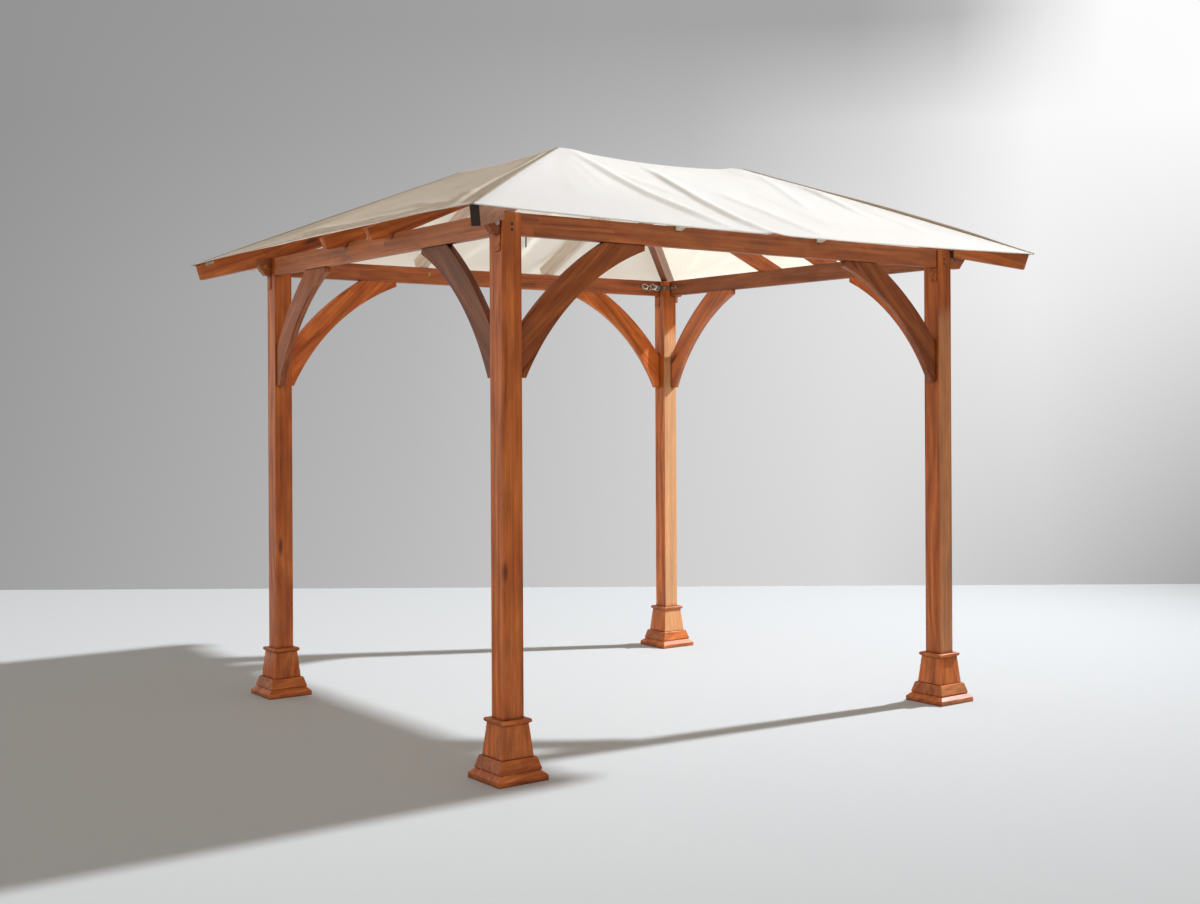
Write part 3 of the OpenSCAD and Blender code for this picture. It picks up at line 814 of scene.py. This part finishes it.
def perforatedPlate(length, kind):
    width, thick, pitch, hole = perforated[kind]

    def build(bm):
        outline = [bm.verts.new((x, y * width / 2, 0)) for x, y in ((0, -1), (length, -1), (length, 1), (0, 1))]
        lines = [bm.edges.new((outline[i], outline[(i + 1) % 4])) for i in range(4)]
        count = int((length - pitch * holes["leastEnd"]) / pitch)
        first = (length - (count - 1) * pitch) / 2
        for i in range(count):
            for side in (-1, 1):
                middle = (first + (i + holes["stagger"] * side) * pitch, side * width / 4, 0)
                lines += edgesOf(circle(bm, holes["sides"], hole, Matrix.Translation(middle)))
        bmesh.ops.triangle_fill(bm, use_beauty=True, use_dissolve=False, edges=lines)
        lift(bm, bm.faces[:], thick)
    return build


def stamp(target, shape, at, facing, along=None):  # adds one shape, its +Z turned to face away from the wood
    part = bmesh.new()
    shape(part)
    bmesh.ops.remove_doubles(part, verts=part.verts, dist=tiny["onLine"])
    faceOutward(part)
    z = Vector(facing).normalized()
    x = Vector(along) if along else z.orthogonal()
    x = (x - z * x.dot(z)).normalized()
    turn = Matrix((x, z.cross(x), z)).transposed().to_4x4()
    bmesh.ops.transform(part, matrix=Matrix.Translation(at) @ turn, verts=part.verts)
    mesh = bpy.data.meshes.new("stamp")
    part.to_mesh(mesh)
    part.free()
    target.from_mesh(mesh)
    bpy.data.meshes.remove(mesh)


postLow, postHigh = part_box("post_back_right")
longLow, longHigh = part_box("beam_back")
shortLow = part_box("beam_right")[0]
postMid = (postLow + postHigh) / 2
places = {  # distances from a post's faces and from the beams' tops
    "screwInset": 0.003, "screwDrops": (0.053, 0.079),
    "hornBolt": (0.017, 0.050), "hornRing": (0.030, 0.049),
    "strapDrop": 0.047, "longLeg": 0.052, "shortLeg": 0.034,
    "longBolts": ((0.014, 0.008), (0.040, -0.007)),
    "shortBolt": 0.018, "legBolt": (0.052, 0.004),
    "spareTail": 0.046, "spareTailFromPost": 0.061, "spareTailProud": 0.001,
}
linkRow = {"count": 4, "from": 0.034, "pitch": 0.036, "out": 0.020, "low": 0.006, "step": 0.009,
           "tilts": (-0.65, 0.75), "twist": 0.35}
tailClip = {"fromEnd": 0.138, "long": 0.050, "below": 0.020, "hipHalf": 0.0208, "endInset": (0.010, 0.007),
            "boltAt": 0.036}
tieRing = {"x": -0.440, "drop": 0.040}
screws, bolts, straps, ringBolts, links, clips = (bmesh.new() for _ in range(6))


def fixCorner(sx, sy):
    inX, inY, outY = (-sx, 0, 0), (0, -sy, 0), (0, sy, 0)
    thick = perforated["wide"][1]
    z = postHigh.z - places["strapDrop"]

    def at(x, y, height):
        return sx * x, sy * y, height

    # two screws through the post's outer cheek into the beam, low and high
    for drop in places["screwDrops"]:
        stamp(screws, screwHead, at(postMid.x - places["screwInset"], postHigh.y, postHigh.z - drop), outY)
    # a bolt through the horn, and a ring bolt on its inner face
    out, drop = places["hornBolt"]
    stamp(bolts, hexBolt, at(postHigh.x + out, longHigh.y, postHigh.z - drop), outY)
    # perforated straps in the inner corner: two legs on the beams, two on the post
    longCorner, shortCorner = at(postLow.x, longLow.y, z), at(shortLow.x, postLow.y, z)
    stamp(straps, perforatedPlate(places["longLeg"], "wide"), longCorner, inY, inX)
    stamp(straps, perforatedPlate(longLow.y - postLow.y, "wide"), longCorner, inX, inY)
    stamp(straps, perforatedPlate(places["shortLeg"], "narrow"), shortCorner, inX, inY)
    stamp(straps, perforatedPlate(shortLow.x - postLow.x, "narrow"), shortCorner, inY, inX)
    if (sx, sy) == (-1, -1):  # a narrow spare tail of this strap hangs under the beam
        hung = at(postLow.x - places["spareTailFromPost"], longLow.y - places["spareTailProud"], longLow.z)
        stamp(screws, perforatedPlate(places["spareTail"], "tail"), hung, inY, (0, 0, -1))
    for reach, above in places["longBolts"]:
        stamp(bolts, hexBolt, at(postLow.x - reach, longLow.y - thick, z + above), inY)
    stamp(bolts, hexBolt, at(shortLow.x - thick, postLow.y - places["shortBolt"], z), inX)
    reach, above = places["legBolt"]
    stamp(bolts, hexBolt, at(shortLow.x, postLow.y - reach, z + above), inX)
    # a taut row of links, from the strap to a bolt in the beam
    for i in range(linkRow["count"]):
        odd = i % 2
        reach = postLow.x - linkRow["from"] - linkRow["pitch"] * i
        place = at(reach, longLow.y - linkRow["out"], z - linkRow["low"] + linkRow["step"] * odd)
        stamp(links, ringLink, place, (linkRow["twist"] * sx * (1 - 2 * odd), -sy, linkRow["tilts"][odd]), inX)
    stamp(bolts, hexBolt, at(reach, longLow.y, z), inY)
    out, drop = places["hornRing"]
    stamp(ringBolts, ringBolt, at(postHigh.x + out, longLow.y, postHigh.z - drop), inY)
    # a clip on the hip's tail, on the side of the short eave
    tailWay = Vector((sx * runX, sy * runY, -rise)).normalized()
    sideWay = Vector((sx * runY, -sy * runX, 0)).normalized()
    insetX, insetY = tailClip["endInset"]
    tailMiddle = Vector(at(roof["eaveX"] - insetX, roof["eaveY"] - insetY, roof["eaveZ"]))
    tailMiddle -= tailWay * tailClip["fromEnd"]
    down = Vector((0, 0, tailClip["below"]))
    stamp(clips, perforatedPlate(tailClip["long"], "clip"),
          tailMiddle + sideWay * tailClip["hipHalf"] - down, sideWay, tailWay)
    clipFace = tailClip["hipHalf"] + perforated["clip"][1]
    stamp(bolts, hexBolt, tailMiddle + tailWay * tailClip["boltAt"] + sideWay * clipFace - down, sideWay)


for sx, sy in corners:
    fixCorner(sx, sy)
# a tie ring on the inner face of the back beam
stamp(ringBolts, ringBolt, (tieRing["x"], longLow.y, longHigh.z - tieRing["drop"]), (0, -1, 0))
for bm, name, finish in (
        (screws, "post_screws", "dark_screws"), (bolts, "frame_bolts", "zinc_steel"),
        (straps, "corner_straps", "zinc_steel"), (ringBolts, "ring_bolts", "brass"),
        (links, "corner_links", "bright_zinc"), (clips, "hip_clips", "bright_zinc")):
    fixed = pieceFrom(bm, name, metals[finish])
    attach(fixed, "root")
print("fixings set")

view = {"place": (-4.946, -6.754, 1.655), "heading": 0.6298, "roll": -0.0051, "lens": 44.06, "shift": -0.0378,
        "sensor": 36.0}
studio = {"wall": 13.48, "floorWide": 26.0, "floorDeep": 30.0, "floor": (0.478, 0.478, 0.478),
          "floorRough": 0.7, "floorShine": 0.2}
headingTurn = Matrix.Rotation(-view["heading"], 4, "Z")

lens = bpy.data.cameras.new("camera")
lens.lens = view["lens"]
lens.sensor_width = view["sensor"]
lens.shift_y = view["shift"]
camera = link(bpy.data.objects.new("camera", lens))
camera.matrix_world = (Matrix.Translation(view["place"]) @ headingTurn
                       @ Matrix.Rotation(math.pi / 2, 4, "X") @ Matrix.Rotation(view["roll"], 4, "Z"))
scene.camera = camera

floorMaterial = newMaterial("studio_floor")
paint = add(floorMaterial.node_tree, "ShaderNodeBsdfPrincipled", {
    "Base Color": (*studio["floor"], 1), "Roughness": studio["floorRough"],
    "Specular IOR Level": studio["floorShine"]})
add(floorMaterial.node_tree, "ShaderNodeOutputMaterial", {"Surface": paint.outputs[0]})
bm = bmesh.new()
bmesh.ops.create_grid(bm, x_segments=1, y_segments=1, size=0.5)
bmesh.ops.scale(bm, verts=bm.verts, vec=(studio["floorWide"], studio["floorDeep"], 1))
bmesh.ops.translate(bm, verts=bm.verts, vec=(0, studio["wall"] - studio["floorDeep"] / 2, 0))
bmesh.ops.rotate(bm, verts=bm.verts, cent=(0, 0, 0), matrix=headingTurn.to_3x3())
bmesh.ops.translate(bm, verts=bm.verts, vec=(*view["place"][:2], 0))
faceOutward(bm)
pieceFrom(bm, "studio_floor", floorMaterial)

key = {
    "place": (7.65, -1.8, 7.3), "aim": (-0.5, 4.0, 0.0), "power": 690.0, "cone": math.radians(120),
    "radius": 0.17, "colour": (0.935, 1.0, 1.062),
    "even": 0.85,   # share of the light that doesn't weaken on the way, as from a far lamp
    "middle": 9.6,  # the distance at which both shares are equally weakened
}
lamp = bpy.data.lights.new("key", "SPOT")
lamp.energy = 1.0
lamp.color = key["colour"]
lamp.shadow_soft_size = key["radius"]
lamp.spot_size = key["cone"]
lamp.spot_blend = 1.0
lamp.use_nodes = True
lampTree = lamp.node_tree
near = add(lampTree, "ShaderNodeLightFalloff", {"Strength": key["power"] * (1 - key["even"]), "Smooth": 0.0})
far = add(lampTree, "ShaderNodeLightFalloff", {
    "Strength": key["power"] * key["even"] / key["middle"], "Smooth": 0.0})
lampGlow = next(n for n in lampTree.nodes if n.type == "EMISSION")
lampTree.links.new(plus(lampTree, near.outputs["Linear"], far.outputs["Constant"]), lampGlow.inputs["Strength"])
keyLamp = link(bpy.data.objects.new("key", lamp))
keyLamp.location = key["place"]
keyLamp.rotation_euler = (Vector(key["aim"]) - Vector(key["place"])).to_track_quat("-Z", "Y").to_euler()

# greys of the lit wall from left to right, in four rows from low to high
wallRows = [
    (-0.114, [(0.0, 0.35), (0.33, 0.50), (0.58, 0.64), (0.72, 0.69), (0.88, 0.56), (1.0, 0.38)]),
    (0.073, [(0.0, 0.32), (0.33, 0.46), (0.67, 0.72), (0.87, 0.86), (1.0, 0.77)]),
    (0.185, [(0.0, 0.29), (0.33, 0.38), (0.58, 0.48), (0.75, 0.69), (0.87, 0.95), (1.0, 0.98)]),
    (0.250, [(0.0, 0.29), (0.5, 0.37), (0.72, 0.38), (0.80, 0.47), (0.87, 0.80), (0.92, 0.98)]),
]
wallReach = 0.38  # the greys run this far to each side, as the sideways part of a direction
wallBlue = 1.01
softLight = {  # a little warm, stronger from the left and with a glow low at the back left
    "colour": (1.0, 0.95, 0.88, 1), "even": 0.50,
    "gain": 0.26, "gainWay": (-0.97, -0.25, 0.0),
    "glow": 0.45, "glowWay": (-0.588, 0.809, 0.0), "glowNarrow": 4.0,
}
air = bpy.data.worlds.new("studio_air")
scene.world = air
air.use_nodes = True
airTree = air.node_tree
airTree.nodes.clear()
toward = add(airTree, "ShaderNodeTexCoord").outputs["Generated"]
rightWay = (math.cos(view["heading"]), -math.sin(view["heading"]), 0)
sweep = remap(airTree, vectorMaths(airTree, "DOT_PRODUCT", toward, rightWay), -wallReach, wallReach)
height = partOf(airTree, toward, 2)
rows = [(level, ramp(airTree, sweep, [(stop, (tone, tone, tone * wallBlue)) for stop, tone in stops]))
        for level, stops in wallRows]
wall = rows[0][1]
for (below, _), (level, row) in zip(rows, rows[1:]):
    wall = mixColour(airTree, remap(airTree, height, below, level), wall, row)
seen = add(airTree, "ShaderNodeBackground", {"Color": wall, "Strength": 1.0})
gainWay = tuple(softLight["gain"] * Vector(softLight["gainWay"]))
gain = vectorMaths(airTree, "DOT_PRODUCT", toward, gainWay)
glow = maths(airTree, "MAXIMUM", vectorMaths(airTree, "DOT_PRODUCT", toward, softLight["glowWay"]), 0.0)
glow = times(airTree, maths(airTree, "POWER", glow, softLight["glowNarrow"]), softLight["glow"])
fill = plus(airTree, plus(airTree, gain, glow), softLight["even"])
soft = add(airTree, "ShaderNodeBackground", {"Color": softLight["colour"], "Strength": fill})
toCamera = add(airTree, "ShaderNodeLightPath").outputs["Is Camera Ray"]
either = add(airTree, "ShaderNodeMixShader", {0: toCamera, 1: soft.outputs[0], 2: seen.outputs[0]})
add(airTree, "ShaderNodeOutputWorld", {"Surface": either.outputs[0]})
scene.view_settings.view_transform = "Standard"
print("studio lit")
